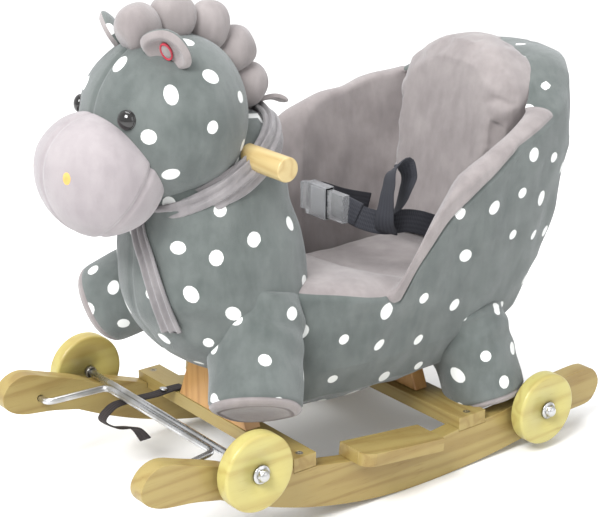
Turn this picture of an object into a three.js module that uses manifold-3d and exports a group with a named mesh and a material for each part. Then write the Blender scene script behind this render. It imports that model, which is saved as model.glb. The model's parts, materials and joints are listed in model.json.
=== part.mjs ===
// Plush rocking horse on wooden rockers, with a front axle that swings down so that it also rolls.
// Millimetres, +Z up. The horse faces -Y and its left side is +X.
// Places along Y are set out from the front axle and heights from the floor, with the horse rocking;
// the finished group is centred at the end.

import * as THREE from 'three';
import { mergeVertices } from 'three/addons/utils/BufferGeometryUtils.js';
import Module from 'manifold-3d';

const wasm = await Module();
wasm.setup();

// ---- Driving dimensions -------------------------------------------------------------------------

const gap = 0.3;

// Rockers: two planks cut to a shallow curve.
const rockerOuter = 141;
const rockerThick = 19;
const rockerInner = rockerOuter - rockerThick;
const contactY = 232;
const frontCurve = 570;
const rearCurve = 1080;
const rockerFront = -118;
const rockerRear = 496;

// Crossbars, posts and boards of the wooden frame.
const crossbarThick = 15;
const frontBarY = 58;
const frontBarWide = 28;
const frontBarZ = 65;
const rearBarY = 280;
const rearBarWide = 38;
const rearBarZ = 46;
const postThick = 18;
const postFoot = 60;
const postWaist = 32;
const postTaper = 0.42;
const boardThick = 12;
const seatBoardHalf = 74;
const seatBoardZ = 140;
const backBoardHalf = 66;
const backBoardTop = 372;

// Footrests.
const footrestLong = 106;
const footrestFrontY = 130;
const footrestOuter = 165;
const footrestThick = 14;
const footrestFrontZ = 57;
const footrestTilt = -0.1085;

// Handle dowel.
const handleRadius = 12.2;
const handleHalf = 120;
const handleY = 68;
const handleZ = 368;

// Wheels, axles and the crank that carries the front axle.
const wheelRadius = 40;
const wheelWidth = 17.4;
const wheelClear = 6.4;
const wheelEdge = 2.5;
const axleRadius = 4;
const axleFit = 0.35;
const frontAxleZ = 91.6;
const rearAxleY = 389;
const rearAxleZ = 49.1;
const crankRadius = 3.5;
const crankArm = 75;
const crankDrop = 2.3;
const crankHalf = 98;
const crankBend = 14;
const pivotDepth = 12;
const nutRadius = 6.5;
const nutLong = 9;
const washerRadius = 9.5;
const washerThick = 1.6;

// Wood screws.
const screwHead = 4;
const screwShank = 1.9;
const screwHeadDeep = 3;

// Strap that ties the axle down.
const strapWide = 14;
const strapThick = 1.8;
const strapX = -72;

// Plush seat.
const seatHalf = 93;
const seatFloor = 168;
const seatPad = 26;
const trunkSquareness = 2.6;
const wingRise = 36;
const backFootY = 400;
const backLean = 0.19;
const backPad = 48;
const backTop = 438;

// Head. The muzzle is a smaller ball set into the head, and the neck meets the head inside the scarf.
const headCentre = new THREE.Vector3(0, 11, 406);
const headRadius = 82;
const muzzleSmaller = new THREE.Vector3(18, 20, 16);
const muzzleInset = 8;
const muzzleDrop = 40;
const eyeRadius = 9.5;
const eyeSink = 1;
const earRadii = new THREE.Vector3(26, 22, 8.5);
const earLift = 9;
const maneLift = 9;
const maneWide = 19;
const maneLobe = 23;
const maneBack = 4;
const maneLobes = 5;
const maneStart = -20;
const maneStep = 25;
const scarfRadius = 11;
const scarfHalf = 70;
const scarfReach = 78;
const scarfTilt = 0.55;
const scarfBelowHead = 29;

// Legs: how far each sole and hip stands out from the middle, along the horse and above the floor.
const legRadius = 41;
const hindLegRadius = 43;
const legRound = 10;
const leftFore = { sole: [106, 38, 128], hip: [52, 78, 240] };
const rightFore = { sole: [110, -2, 182], hip: [44, 62, 240] };
const hindOut = 13;
const hindSole = [351, 53];
const hindHip = [62, 334, 190];

// Harness.
const beltWide = 25;
const beltThick = 1.8;
const beltInset = 9;
const buckleLong = 34;
const buckleWide = 36;
const buckleThick = 13;
const buckleWall = 2.4;
const buckleFit = 0.5;
const tongueArm = 5;
const buckleCentre = new THREE.Vector3(-16, 214, 278);

// Sound unit in the left ear.
const soundRadius = 9;
const soundThick = 3;
const buttonRadius = 7.5;
const buttonThick = 3;
const buttonTravel = 2.5;

// ---- Solids -------------------------------------------------------------------------------------

// Turns a closed geometry into a manifold solid with its faces outward.
function solid(geometry) {
  const bare = geometry.index ? geometry.clone() : geometry;
  bare.deleteAttribute('normal');
  bare.deleteAttribute('uv');
  const merged = mergeVertices(bare, 1e-4);
  const points = merged.attributes.position.array;
  const corners = [];
  let volume = 0;
  for (let i = 0; i < merged.index.count; i += 3) {
    const [a, b, c] = [0, 1, 2].map((k) => merged.index.getX(i + k));
    if (a === b || b === c || c === a) continue;
    const [p, q, r] = [a, b, c].map((k) => new THREE.Vector3().fromArray(points, 3 * k));
    volume += p.dot(q.cross(r));
    corners.push([a, b, c]);
  }
  const triangles = corners.flatMap(([a, b, c]) => (volume > 0 ? [a, b, c] : [a, c, b]));
  const mesh = new wasm.Mesh({
    numProp: 3,
    vertProperties: new Float32Array(points),
    triVerts: new Uint32Array(triangles),
  });
  return new wasm.Manifold(mesh);
}

// Turns a manifold solid back into a geometry.
function geometryOf(manifold) {
  const mesh = manifold.getMesh();
  const geometry = new THREE.BufferGeometry();
  geometry.setAttribute('position', new THREE.BufferAttribute(new Float32Array(mesh.vertProperties), 3));
  geometry.setIndex(Array.from(mesh.triVerts));
  geometry.computeVertexNormals();
  return geometry;
}

function cut(body, ...tools) {
  return tools.reduce((left, tool) => left.subtract(tool), body);
}

function box(x0, x1, y0, y1, z0, z1) {
  const geometry = new THREE.BoxGeometry(x1 - x0, y1 - y0, z1 - z0);
  geometry.translate((x0 + x1) / 2, (y0 + y1) / 2, (z0 + z1) / 2);
  return solid(geometry);
}

// A cylinder along X.
function rod(radius, x0, x1, y, z, sides = 24) {
  const geometry = new THREE.CylinderGeometry(radius, radius, x1 - x0, sides);
  geometry.rotateZ(Math.PI / 2);
  geometry.translate((x0 + x1) / 2, y, z);
  return solid(geometry);
}

// A side outline, drawn with Y across and Z up, made thick along X.
function across(shape, x0, x1, curveSegments = 4) {
  const geometry = new THREE.ExtrudeGeometry(shape, { depth: x1 - x0, bevelEnabled: false, curveSegments });
  const turn = new THREE.Matrix4().makeBasis(
    new THREE.Vector3(0, 1, 0),
    new THREE.Vector3(0, 0, 1),
    new THREE.Vector3(1, 0, 0),
  );
  geometry.applyMatrix4(turn.setPosition(x0, 0, 0));
  return solid(geometry);
}

function outline(points) {
  return new THREE.Shape(points.map(([y, z]) => new THREE.Vector2(y, z)));
}

// A closed strip of even thickness along a curve through the points given.
function strip(points, thickness, steps) {
  const curve = new THREE.SplineCurve(points.map(([u, v]) => new THREE.Vector2(u, v)));
  const edge = (side) => curve.getSpacedPoints(steps).map((p, i) => {
    const along = curve.getTangentAt(i / steps);
    return new THREE.Vector2(p.x - along.y * side, p.y + along.x * side);
  });
  return new THREE.Shape([...edge(thickness / 2), ...edge(-thickness / 2).reverse()]);
}

function ball(centre, radii, grow = 0, turn = new THREE.Quaternion(), detail = 18) {
  const geometry = new THREE.SphereGeometry(1, detail, detail / 2);
  geometry.rotateX(Math.PI / 2);
  geometry.scale(radii.x + grow, radii.y + grow, radii.z + grow);
  geometry.applyQuaternion(turn);
  geometry.translate(centre.x, centre.y, centre.z);
  return solid(geometry);
}

// A solid of level rings, each [height, y of its middle, half width, half length]. A power over 2 makes
// them squarer.
function rings(levels, grow = 0, power = 2, around = 24) {
  const positions = [];
  const index = [];
  const top = levels.length - 1;
  levels.forEach(([z, y, rx, ry], k) => {
    const height = z + (k === 0 ? -grow : k === top ? grow : 0);
    for (let i = 0; i < around; i++) {
      const turn = (2 * Math.PI * i) / around;
      const [c, s] = [Math.cos(turn), Math.sin(turn)];
      const reach = (Math.abs(c) ** power + Math.abs(s) ** power) ** (-1 / power);
      positions.push((rx + grow) * c * reach, y + (ry + grow) * s * reach, height);
    }
  });
  for (let k = 0; k < top; k++) {
    for (let i = 0; i < around; i++) {
      const [a, b] = [k * around + i, k * around + ((i + 1) % around)];
      index.push(a, b, b + around, a, b + around, a + around);
    }
  }
  const lid = top * around;
  for (let i = 1; i < around - 1; i++) {
    index.push(0, i + 1, i, lid, lid + i, lid + i + 1);
  }
  const geometry = new THREE.BufferGeometry();
  geometry.setAttribute('position', new THREE.Float32BufferAttribute(positions, 3));
  geometry.setIndex(index);
  return solid(geometry);
}

// A countersunk wood screw with its head's top at the origin, pointing down.
function screw(long, grow = 0) {
  const profile = [
    [0, -long - grow],
    [screwShank + grow, -long + 4],
    [screwShank + grow, -screwHeadDeep],
    [screwHead + grow, 0],
    [0, 0],
  ];
  return new THREE.LatheGeometry(profile.map(([r, y]) => new THREE.Vector2(r, y)), 10).rotateX(Math.PI / 2);
}

// ---- The object ---------------------------------------------------------------------------------

const horse = new THREE.Group();

const looks = {
  pine: [0xd9c48a, 0.55, 0],
  orangeWood: [0xdba765, 0.6, 0],
  plywood: [0xc9a878, 0.75, 0],
  steel: [0xb9bcc0, 0.28, 1],
  webbing: [0x26262a, 0.85, 0],
  strap: [0x1d1a1c, 0.7, 0],
  plastic: [0xcfd2d2, 0.35, 0],
  greyPlush: [0x84898c, 0.95, 0],
  palePlush: [0xc8bfc0, 0.95, 0],
  black: [0x0c0c0e, 0.08, 0],
  button: [0xd9686f, 0.7, 0],
};

function add(name, shape, look, parent = horse) {
  const [color, roughness, metalness] = looks[look];
  const geometry = shape.isBufferGeometry ? shape : geometryOf(shape);
  const mesh = new THREE.Mesh(geometry, new THREE.MeshStandardMaterial({ color, roughness, metalness }));
  mesh.name = name;
  parent.add(mesh);
  return mesh;
}

const sides = [['left', 1], ['right', -1]];

// ---- Wooden frame -------------------------------------------------------------------------------

const pivotY = -crankArm;
const pivotZ = frontAxleZ - crankDrop;
const frontBarTop = frontBarZ + crossbarThick;
const rearBarTop = rearBarZ + crossbarThick;
const frontPostY = handleY - postThick / 2;
const rearPostY = rearBarY + (rearBarWide - postThick) / 2;

function footrestSeat(y) {
  return footrestFrontZ + footrestTilt * (y - footrestFrontY) - gap;
}

function rockerOutline() {
  const axleSeat = frontAxleZ - axleRadius - gap;
  const footrestRear = footrestFrontY + footrestLong;
  const neckY = contactY - 262;
  const heelY = contactY + 223;
  const arcZ = (y, radius) => radius - Math.sqrt(radius ** 2 - (y - contactY) ** 2);
  const v = (y, z) => new THREE.Vector2(y, z);
  const shape = new THREE.Shape();
  shape.moveTo(neckY, arcZ(neckY, frontCurve));
  for (let k = 1; k <= 20; k++) {
    const y = neckY + ((contactY - neckY) * k) / 20;
    shape.lineTo(y, arcZ(y, frontCurve));
  }
  for (let k = 1; k <= 12; k++) {
    const y = contactY + ((heelY - contactY) * k) / 12;
    shape.lineTo(y, arcZ(y, rearCurve));
  }
  shape.splineThru([
    v(rockerRear - 12, 26),
    v(rockerRear, 45),
    v(rockerRear - 8, 62),
    v(rockerRear - 24, 67),
    v(rearAxleY + 41, 65),
    v(rearAxleY, 62),
    v(rearAxleY - 38, 52),
    v(rearBarY + rearBarWide + gap, 50),
  ]);
  shape.lineTo(rearBarY + rearBarWide + gap, rearBarZ - gap);
  shape.lineTo(rearBarY - gap, rearBarZ - gap);
  shape.lineTo(rearBarY - gap, rearBarZ + 3);
  shape.lineTo(footrestRear + 4, footrestSeat(footrestRear + 4));
  shape.lineTo(footrestFrontY - 4, footrestSeat(footrestFrontY - 4));
  shape.lineTo(frontBarY + frontBarWide + gap, frontBarZ - gap);
  shape.lineTo(frontBarY - gap, frontBarZ - gap);
  shape.lineTo(frontBarY - gap, frontBarZ + 6);
  shape.lineTo(12, axleSeat);
  shape.lineTo(-6, axleSeat);
  shape.splineThru([
    v(-20, 95),
    v(-38, 102),
    v(-64, 111),
    v(rockerFront + 28, 119),
    v(rockerFront + 10, 114),
    v(rockerFront, 100),
    v(rockerFront + 4, 86),
    v(rockerFront + 22, 76),
    v(-62, 71),
    v(neckY, arcZ(neckY, frontCurve)),
  ]);
  return shape;
}

// Screws are set out once and cut their own holes.
const barScrewLong = crossbarThick + 22;
const footrestScrewLong = footrestThick + 18;
const rockerMiddle = rockerOuter - rockerThick / 2;
const screws = sides.flatMap(([side, hand]) => [
  [`front_crossbar_screw_${side}`, hand, frontBarY + frontBarWide / 2, frontBarTop, 0, barScrewLong],
  [`rear_crossbar_screw_${side}`, hand, rearBarY + rearBarWide / 2, rearBarTop, 0, barScrewLong],
  ...[['front', 0.27], ['rear', 0.82]].map(([end, share]) => {
    const y = footrestFrontY + footrestLong * share;
    return [`footrest_screw_${side}_${end}`, hand, y, footrestSeat(y) + gap + footrestThick, footrestTilt,
      footrestScrewLong];
  }),
]);

function placedScrew([, hand, y, z, tilt, long], grow = 0) {
  const geometry = screw(long, grow);
  geometry.rotateX(tilt);
  geometry.translate(hand * rockerMiddle, y, z);
  return solid(geometry);
}

const screwHoles = screws.map((one) => placedScrew(one, gap));

for (const [side, hand] of sides) {
  const [inner, outer] = hand > 0 ? [rockerInner, rockerOuter] : [-rockerOuter, -rockerInner];
  const blank = across(rockerOutline(), inner, outer);
  const boltHole = rod(axleRadius + axleFit, inner - 1, outer + 1, rearAxleY, rearAxleZ);
  const pivotEnd = hand * (rockerInner + pivotDepth);
  const pivotStart = hand * (rockerInner - 1);
  const pivotHole = rod(
    crankRadius + axleFit,
    Math.min(pivotStart, pivotEnd),
    Math.max(pivotStart, pivotEnd),
    pivotY,
    pivotZ,
  );
  add(`rocker_${side}`, cut(blank, boltHole, pivotHole, ...screwHoles), 'pine');
}

const frontBar = box(-rockerOuter, rockerOuter, frontBarY, frontBarY + frontBarWide, frontBarZ, frontBarTop);
add('front_crossbar', cut(frontBar, ...screwHoles), 'pine');
const rearBar = box(-rockerOuter, rockerOuter, rearBarY, rearBarY + rearBarWide, rearBarZ, rearBarTop);
add('rear_crossbar', cut(rearBar, ...screwHoles), 'pine');

// A footrest is a slab along the rocker with its front outer corner rounded.
function footrest(hand) {
  const [inner, outer, round] = [rockerInner, footrestOuter, 14];
  const shape = new THREE.Shape();
  shape.moveTo(inner, 0);
  shape.lineTo(outer - round, 0);
  shape.absarc(outer - round, round, round, -Math.PI / 2, 0, false);
  shape.lineTo(outer, footrestLong);
  shape.lineTo(inner, footrestLong);
  const options = { depth: footrestThick, bevelEnabled: false, curveSegments: 6 };
  const geometry = new THREE.ExtrudeGeometry(shape, options);
  geometry.scale(hand, 1, 1);
  geometry.rotateX(Math.atan(footrestTilt));
  geometry.translate(0, footrestFrontY, footrestFrontZ);
  return solid(geometry);
}

for (const [side, hand] of sides) {
  add(`footrest_${side}`, cut(footrest(hand), ...screwHoles), 'pine');
}
for (const one of screws) {
  add(one[0], placedScrew(one), 'steel');
}

// A post is a board that stands across the horse and narrows upward to its waist.
function post(y, foot, top, grow = 0) {
  const waistZ = Math.min(foot + (postFoot - postWaist) / postTaper, top);
  const waist = postFoot - (waistZ - foot) * postTaper;
  const half = outline([
    [-postFoot - grow, foot - grow],
    [postFoot + grow, foot - grow],
    [waist + grow, waistZ],
    [waist + grow, top + grow],
    [-waist - grow, top + grow],
    [-waist - grow, waistZ],
  ]);
  const geometry = new THREE.ExtrudeGeometry(half, { depth: postThick + 2 * grow, bevelEnabled: false });
  geometry.rotateX(Math.PI / 2);
  geometry.translate(0, y + postThick + grow, 0);
  return solid(geometry);
}

const frontPostTop = handleZ - 4;
const frontPost = (grow) => post(frontPostY, frontBarTop + gap, frontPostTop, grow);
const rearPost = (grow) => post(rearPostY, rearBarTop + gap, seatBoardZ - gap, grow);
const handleBore = rod(handleRadius + gap, -handleHalf, handleHalf, handleY, handleZ);
add('front_post', cut(frontPost(0), handleBore), 'orangeWood');
add('rear_post', rearPost(0), 'orangeWood');
add('handle_bar', rod(handleRadius, -handleHalf, handleHalf, handleY, handleZ, 32), 'pine');

// The seat board runs back from the front post, and the back board leans on its rear end.
const backFace = (z) => backFootY + (z - seatFloor) * backLean;
const backBoardInset = 12;
const seatBoardRear = backFace(seatBoardZ) + backBoardInset + boardThick + 4;

function seatBoard(grow) {
  const front = frontPostY + postThick + gap;
  return box(-seatBoardHalf - grow, seatBoardHalf + grow, front - grow, seatBoardRear + grow,
    seatBoardZ - grow, seatBoardZ + boardThick + grow);
}

function backBoard(grow) {
  const foot = seatBoardZ + boardThick + gap;
  const [front, rear] = [backBoardInset - grow, backBoardInset + boardThick + grow];
  const side = outline([
    [backFace(foot) + front, foot - grow],
    [backFace(foot) + rear, foot - grow],
    [backFace(backBoardTop) + rear, backBoardTop + grow],
    [backFace(backBoardTop) + front, backBoardTop + grow],
  ]);
  return across(side, -backBoardHalf - grow, backBoardHalf + grow);
}

add('seat_board', seatBoard(0), 'plywood');
add('back_board', backBoard(0), 'plywood');

// ---- Wheels, axles and crank --------------------------------------------------------------------

const wheelInner = rockerOuter + wheelClear;
const wheelOuter = wheelInner + wheelWidth;

// A wheel lies along X with its middle at the origin and a bore for its axle.
function wheel() {
  const half = wheelWidth / 2;
  const bore = axleRadius + axleFit;
  const profile = [
    [bore, -half],
    [wheelRadius - wheelEdge, -half],
    [wheelRadius, -half + wheelEdge],
    [wheelRadius, half - wheelEdge],
    [wheelRadius - wheelEdge, half],
    [bore, half],
    [bore, -half],
  ];
  const geometry = new THREE.LatheGeometry(profile.map(([r, y]) => new THREE.Vector2(r, y)), 30);
  geometry.rotateZ(Math.PI / 2);
  return geometryOf(solid(geometry));
}

// A domed nut on a washer, open at the washer's side for the axle's end. It starts at the origin.
function capNut() {
  const bore = axleRadius + axleFit;
  const deep = nutLong - 3;
  const profile = [
    [bore, 0],
    [washerRadius, 0],
    [washerRadius, washerThick],
    [nutRadius, washerThick],
    [nutRadius, nutLong - 4],
    [nutRadius * 0.75, nutLong - 1.2],
    [nutRadius * 0.3, nutLong],
    [0, nutLong],
    [0, deep],
    [bore, deep],
    [bore, 0],
  ];
  const geometry = new THREE.LatheGeometry(profile.map(([r, y]) => new THREE.Vector2(r, y)), 12);
  geometry.rotateZ(-Math.PI / 2);
  return geometry;
}

const nutStart = wheelOuter + 2 * gap;
const axleEnd = nutStart + nutLong - 3 - gap;

const frontAxle = new THREE.Group();
frontAxle.position.z = frontAxleZ;
horse.add(frontAxle);
const rearAxle = new THREE.Group();
rearAxle.position.set(0, rearAxleY, rearAxleZ);
horse.add(rearAxle);

for (const [end, group] of [['front', frontAxle], ['rear', rearAxle]]) {
  for (const [side, hand] of sides) {
    add(`wheel_${end}_${side}`, wheel(), 'pine', group).position.x = (hand * (wheelInner + wheelOuter)) / 2;
    const nut = add(`cap_nut_${end}_${side}`, geometryOf(solid(capNut())), 'steel', group);
    nut.position.x = hand * nutStart;
    nut.rotation.y = hand > 0 ? 0 : Math.PI;
  }
}
add('front_axle', rod(axleRadius, -axleEnd, axleEnd, 0, 0, 16), 'steel', frontAxle);

// A collar on the front axle holds each wheel out from the rocker.
const collarLong = wheelClear - 2;
for (const [side, hand] of sides) {
  const near = wheelInner - gap - collarLong;
  const [from, to] = hand > 0 ? [near, near + collarLong] : [-near - collarLong, -near];
  const bore = rod(axleRadius + gap, from - 1, to + 1, 0, 0, 18);
  const collar = rod(nutRadius, from, to, 0, 0, 18).subtract(bore);
  add(`axle_collar_${side}`, collar, 'steel', frontAxle);
}

// The rear wheels turn on bolts through the rockers, with a flat head on the inner face.
for (const [side, hand] of sides) {
  const headLong = 3;
  const shank = rod(axleRadius, rockerInner - gap - headLong, axleEnd, 0, 0, 16);
  const head = rod(washerRadius, rockerInner - gap - headLong, rockerInner - gap, 0, 0, 18);
  const bolt = add(`rear_axle_bolt_${side}`, shank.add(head), 'steel', rearAxle);
  bolt.rotation.y = hand > 0 ? 0 : Math.PI;
}

// The crank is one bent rod: a pivot pin in each rocker, an arm, and a stretch beside the front axle.
function crank() {
  const beside = -(axleRadius + crankRadius + gap);
  const pin = rockerInner + pivotDepth - 1;
  const elbow = rockerInner - crankBend;
  const corners = [
    [pin, pivotY, -crankDrop],
    [elbow, pivotY, -crankDrop],
    [crankHalf, beside, 0],
    [-crankHalf, beside, 0],
    [-elbow, pivotY, -crankDrop],
    [-pin, pivotY, -crankDrop],
  ].map((p) => new THREE.Vector3(...p));
  const path = new THREE.CurvePath();
  const round = 7;
  let from = corners[0];
  for (let k = 1; k < corners.length - 1; k++) {
    const before = corners[k - 1].clone().sub(corners[k]).setLength(round).add(corners[k]);
    const after = corners[k + 1].clone().sub(corners[k]).setLength(round).add(corners[k]);
    path.add(new THREE.LineCurve3(from, before));
    path.add(new THREE.QuadraticBezierCurve3(before, corners[k], after));
    from = after;
  }
  path.add(new THREE.LineCurve3(from, corners[corners.length - 1]));
  const section = new THREE.Shape().absarc(0, 0, crankRadius, 0, 2 * Math.PI);
  return new THREE.ExtrudeGeometry(section, { steps: 52, extrudePath: path, curveSegments: 4 });
}

add('crank_rod', solid(crank()), 'steel', frontAxle);

// ---- Axle strap ---------------------------------------------------------------------------------

// The strap is held under the front crossbar's edge, passes below the axle and hangs in a loop.
const strapPath = [
  [frontBarY + 12, frontBarTop + 1.4],
  [frontBarY - 1, frontBarTop + 2],
  [frontBarY - 22, frontAxleZ - 10],
  [8, frontAxleZ - 9],
  [-20, frontAxleZ - 11],
  [-31, frontAxleZ - 21],
  [-18, frontAxleZ - 32],
  [8, frontAxleZ - 41],
  [19, frontAxleZ - 57],
];
const strapBand = across(strip(strapPath, strapThick, 26), strapX - strapWide / 2, strapX + strapWide / 2);
add('axle_strap', strapBand, 'strap');

// ---- Plush body ---------------------------------------------------------------------------------

const neckRings = [
  [138, 80, 42, 36],
  [152, 76, 64, 58],
  [185, 66, 84, 80],
  [225, 59, 92, 91],
  [275, 56, 86, 89],
  [325, 54, 72, 79],
  [365, 53, 61, 72],
  [396, 48, 48, 58],
];
const trunkRings = [
  [88, 255, 66, 90],
  [104, 258, 90, 150],
  [140, 262, 108, 190],
  [190, 270, 121, 212],
  [250, 277, 133, 220],
  [320, 286, 141, 218],
  [405, 289, 136, 210],
];

const neckShape = (grow) => rings(neckRings, grow);
const woodHoles = [frontPost(gap), rearPost(gap), seatBoard(gap), backBoard(gap), handleBore];

// The side outline: belly, round back, and a wing that climbs from the saddle to the backrest. The left
// wing is pressed down and outward, so the right one stands higher in front by rise.
function trunkSide(rise) {
  const shape = new THREE.Shape();
  shape.moveTo(70, 150);
  shape.splineThru([
    new THREE.Vector2(150, 118),
    new THREE.Vector2(231, 92),
    new THREE.Vector2(320, 92),
    new THREE.Vector2(410, 112),
    new THREE.Vector2(466, 165),
    new THREE.Vector2(494, 245),
    new THREE.Vector2(502, 330),
    new THREE.Vector2(494, 385),
    new THREE.Vector2(470, 404),
    new THREE.Vector2(426, 396),
    new THREE.Vector2(370, 380),
    new THREE.Vector2(305, 348 + rise / 2),
    new THREE.Vector2(252, 296 + rise),
    new THREE.Vector2(210, 222 + rise / 2),
    new THREE.Vector2(180, 200),
  ]);
  shape.lineTo(70, 200);
  return shape;
}

const bucket = outline([
  [60, seatFloor],
  [backFootY, seatFloor],
  [backFace(500), 500],
  [60, 500],
]);
const trunk = rings(trunkRings, 0, trunkSquareness)
  .intersect(across(trunkSide(wingRise), -200, 0).add(across(trunkSide(0), 0, 200)))
  .subtract(across(bucket, -seatHalf, seatHalf));
add('body_shell', cut(trunk, neckShape(gap), ...woodHoles), 'greyPlush');

// The seat pad lies in the bucket, and the back pad stands on its rear end and rises over the shell.
const padTop = seatFloor + gap + seatPad;
const seatSide = outline([
  [110, seatFloor + gap],
  [backFootY - 2, seatFloor + gap],
  [backFace(padTop) - 1, padTop],
  [215, padTop],
  [110, padTop + 6],
]);
const seatCushion = across(seatSide, -seatHalf + gap, seatHalf - gap);
add('seat_cushion', cut(seatCushion, neckShape(gap)), 'palePlush');

const backSide = outline([
  [backFace(padTop) - backPad, padTop + gap],
  [backFace(padTop) - gap, padTop + gap],
  [backFace(backTop) - gap, backTop],
  [backFace(backTop) - backPad, backTop],
]);
const backFront = new THREE.Shape();
const backHalf = seatHalf - gap;
backFront.moveTo(-backHalf, padTop);
backFront.lineTo(backHalf, padTop);
backFront.lineTo(backHalf, 340);
backFront.bezierCurveTo(backHalf, 410, 50, backTop, 0, backTop);
backFront.bezierCurveTo(-50, backTop, -backHalf, 410, -backHalf, 340);
const backRise = new THREE.ExtrudeGeometry(backFront, { depth: 300, bevelEnabled: false, curveSegments: 8 });
backRise.rotateX(Math.PI / 2);
backRise.translate(0, 550, 0);
add('back_cushion', across(backSide, -backHalf, backHalf).intersect(solid(backRise)), 'palePlush');

// Neck and chest, cut round the frame inside.
add('neck', cut(neckShape(0), ...woodHoles), 'greyPlush');

// ---- Head ---------------------------------------------------------------------------------------

const headRadii = new THREE.Vector3(headRadius, headRadius, headRadius);
const muzzleRadii = headRadii.clone().sub(muzzleSmaller);
const muzzleCentre = headCentre.clone().add(new THREE.Vector3(0, muzzleInset - headRadius, -muzzleDrop));
const headShape = (grow) => ball(headCentre, headRadii, grow, undefined, 24);
const muzzleShape = (grow) => ball(muzzleCentre, muzzleRadii, grow, undefined, 20);

const eyePlaces = sides.map(([side, hand]) => {
  const out = new THREE.Vector3(hand * 0.5, -0.84, 0.17).normalize();
  return [side, headCentre.clone().addScaledVector(out, headRadius - eyeSink)];
});

function eye(centre, grow) {
  return ball(centre, new THREE.Vector3(eyeRadius, eyeRadius, eyeRadius), grow, undefined, 12);
}

const eyeHoles = eyePlaces.map(([, centre]) => eye(centre, gap));
add('head', cut(headShape(0), neckShape(gap), ...eyeHoles, handleBore), 'greyPlush');
add('muzzle', cut(muzzleShape(0), headShape(gap), neckShape(gap), ...eyeHoles), 'palePlush');
for (const [side, centre] of eyePlaces) {
  add(`eye_${side}`, eye(centre, 0), 'black');
}

// Ears stand on the head and face forward and outward.
function earFrame(hand) {
  const up = new THREE.Vector3(hand * 0.5, -0.27, 0.82).normalize();
  const facing = new THREE.Vector3(hand * 0.62, -0.72, 0.3);
  facing.addScaledVector(up, -facing.dot(up)).normalize();
  const side = new THREE.Vector3().crossVectors(up, facing);
  const turn = new THREE.Quaternion().setFromRotationMatrix(new THREE.Matrix4().makeBasis(side, up, facing));
  return { turn, centre: headCentre.clone().addScaledVector(up, headRadius + earLift) };
}

// A disc that faces out of the ear, from one depth below the ear's middle plane to another.
function earDisc(hand, radius, from, to) {
  const { turn, centre } = earFrame(hand);
  const geometry = new THREE.CylinderGeometry(radius, radius, to - from, 20);
  geometry.rotateX(Math.PI / 2);
  geometry.translate(0, 0, (from + to) / 2);
  geometry.applyQuaternion(turn);
  geometry.translate(centre.x, centre.y, centre.z);
  return solid(geometry);
}

const moduleFrom = -4;
const buttonFrom = moduleFrom + soundThick + gap + buttonTravel;
for (const [side, hand] of sides) {
  const { turn, centre } = earFrame(hand);
  const whole = cut(ball(centre, earRadii, 0, turn), headShape(gap));
  const pocket = earDisc(hand, soundRadius + gap, moduleFrom - gap, 20);
  add(`ear_${side}`, hand > 0 ? whole.subtract(pocket) : whole, 'palePlush');
}
add('sound_module', earDisc(1, soundRadius, moduleFrom, moduleFrom + soundThick), 'black');
add('sound_button', earDisc(1, buttonRadius, buttonFrom, buttonFrom + buttonThick), 'button');

// The mane is a row of puffs over the crown, from the forehead to the nape.
function mane() {
  let whole = null;
  for (let k = 0; k < maneLobes; k++) {
    const turn = THREE.MathUtils.degToRad(maneStart + maneStep * k);
    const reach = headRadius + maneLift;
    const centre = headCentre.clone().add(
      new THREE.Vector3(0, Math.sin(turn) * reach + maneBack, Math.cos(turn) * reach),
    );
    const lobe = ball(centre, new THREE.Vector3(maneWide, maneLobe, maneLobe), 0, undefined, 12);
    whole = whole ? whole.add(lobe) : lobe;
  }
  return whole;
}

add('mane', cut(mane(), headShape(gap)), 'palePlush');

// The scarf is a soft ring round the neck, lower at the throat than at the nape.
function scarf() {
  const thin = 0.15;
  const geometry = new THREE.TorusGeometry(1, thin, 8, 24);
  geometry.scale(scarfHalf, scarfReach, scarfRadius / thin);
  geometry.rotateX(Math.atan(scarfTilt));
  geometry.translate(0, neckRings[5][1] - 1, headCentre.z - headRadius + scarfBelowHead);
  return solid(geometry);
}

add('scarf', cut(scarf(), neckShape(gap), headShape(gap), muzzleShape(gap), handleBore), 'palePlush');

// ---- Legs ---------------------------------------------------------------------------------------

// A leg is a stuffed tube from its sole to its hip, rounded at both ends.
function leg(sole, hip, radius) {
  const along = hip.clone().sub(sole);
  const long = along.length();
  const profile = [
    [0, 0],
    [radius - legRound, 0],
    [radius - legRound * 0.3, legRound * 0.3],
    [radius, legRound],
    [radius, long - 30],
    [radius * 0.75, long - 8],
    [0, long],
  ];
  const upright = new THREE.Vector3(0, 1, 0);
  const turn = new THREE.Quaternion().setFromUnitVectors(upright, along.normalize());
  const geometry = new THREE.LatheGeometry(profile.map(([r, y]) => new THREE.Vector2(r, y)), 24);
  geometry.applyQuaternion(turn);
  geometry.translate(sole.x, sole.y, sole.z);
  return solid(geometry);
}

// The hind soles stand over the rockers.
const hind = { sole: [rockerInner - hindOut, ...hindSole], hip: hindHip };
const legs = [
  ['front_leg_left', 1, leftFore, legRadius],
  ['front_leg_right', -1, rightFore, legRadius],
  ['hind_leg_left', 1, hind, hindLegRadius],
  ['hind_leg_right', -1, hind, hindLegRadius],
];
const trunkFull = rings(trunkRings, gap, trunkSquareness);
const rearBarRoom = box(-200, 200, rearBarY - gap, rearBarY + rearBarWide + gap, 0, rearBarTop + gap);
for (const [name, hand, { sole, hip }, radius] of legs) {
  const [from, to] = [sole, hip].map(([x, y, z]) => new THREE.Vector3(hand * x, y, z));
  const whole = leg(from, to, radius);
  add(name, cut(whole, neckShape(gap), trunkFull, seatBoard(gap), rearBarRoom), 'greyPlush');
}

// ---- Harness ------------------------------------------------------------------------------------

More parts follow.
